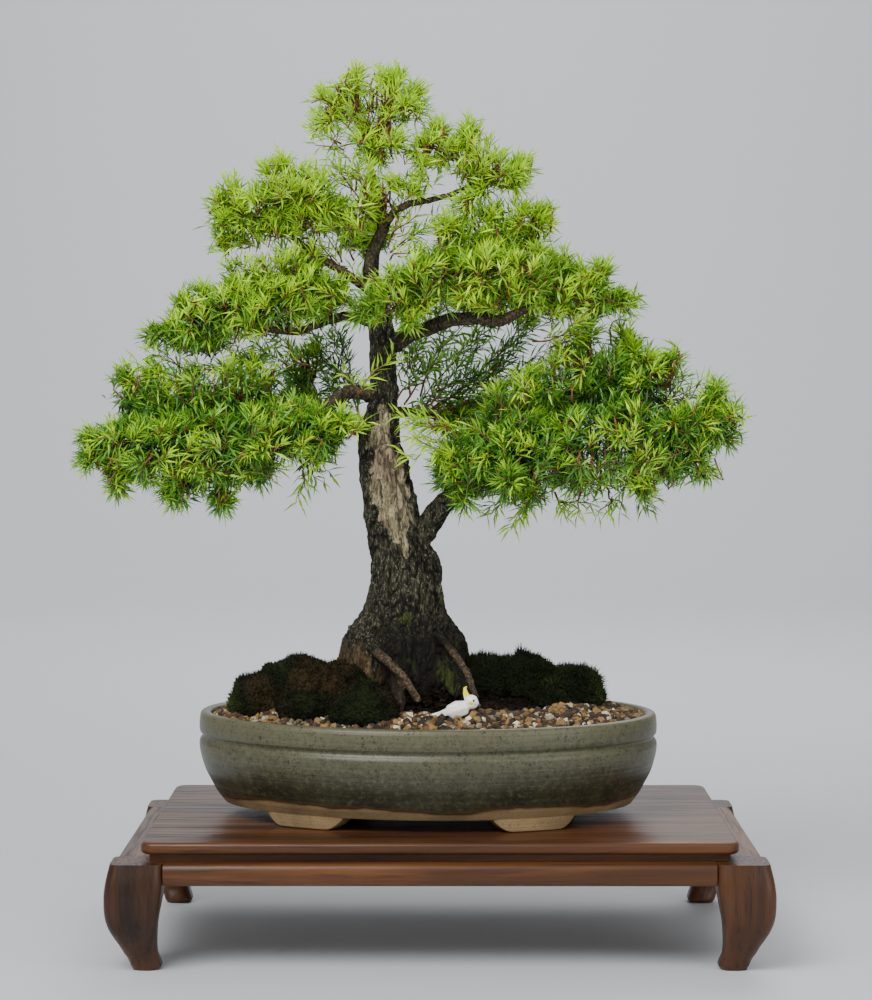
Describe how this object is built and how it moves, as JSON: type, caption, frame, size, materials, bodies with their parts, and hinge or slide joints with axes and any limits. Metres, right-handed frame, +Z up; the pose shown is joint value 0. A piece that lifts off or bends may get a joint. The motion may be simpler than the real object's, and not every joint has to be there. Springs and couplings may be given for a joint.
{
  "type": "black tea tree bonsai",
  "caption": "Black tea tree trained as a bonsai, with layered foliage pads on a thick trunk, in an oval stoneware pot with moss and gravel, on a low hardwood stand.",
  "frame": {"origin": "on the surface that the stand rests on, under the middle of the whole part's box", "axes": "+Z up along the trunk; the front of the tree, pot and stand faces -Y; +X is to the right of a viewer at the front"},
  "size_m": [0.6828, 0.406, 0.8769],
  "materials": {
    "stand_wood": "satin",
    "pot_stoneware": "satin",
    "screen": "matte",
    "bark": "matte",
    "soil": "matte",
    "moss": "matte",
    "gravel": "matte",
    "figurine": "gloss",
    "foliage": "matte"
  },
  "bodies": {
    "root": {"stand_panel": "stand_wood", "stand_waist_front": "stand_wood", "stand_rail_front": "stand_wood", "stand_waist_right": "stand_wood", "stand_rail_right": "stand_wood", "stand_waist_back": "stand_wood", "stand_rail_back": "stand_wood", "stand_waist_left": "stand_wood", "stand_rail_left": "stand_wood", "stand_leg_front_left": "stand_wood", "stand_leg_front_right": "stand_wood", "stand_leg_back_left": "stand_wood", "stand_leg_back_right": "stand_wood", "pot": "pot_stoneware", "drain_screen_left": "screen", "drain_screen_right": "screen", "tree_wood": "bark", "soil": "soil", "moss_left": "moss", "moss_right": "moss", "moss_rear": "moss", "gravel": "gravel", "cockatoo_figurine": "figurine", "foliage_right_low": "foliage", "foliage_left_low": "foliage", "foliage_right_high": "foliage", "foliage_left_mid": "foliage", "foliage_left_high": "foliage", "foliage_right_crown": "foliage", "foliage_crown": "foliage", "foliage_centre": "foliage", "foliage_rear_mid": "foliage", "foliage_rear_right": "foliage", "foliage_rear_left": "foliage", "foliage_rear_high": "foliage"}
  },
  "joints": []
}
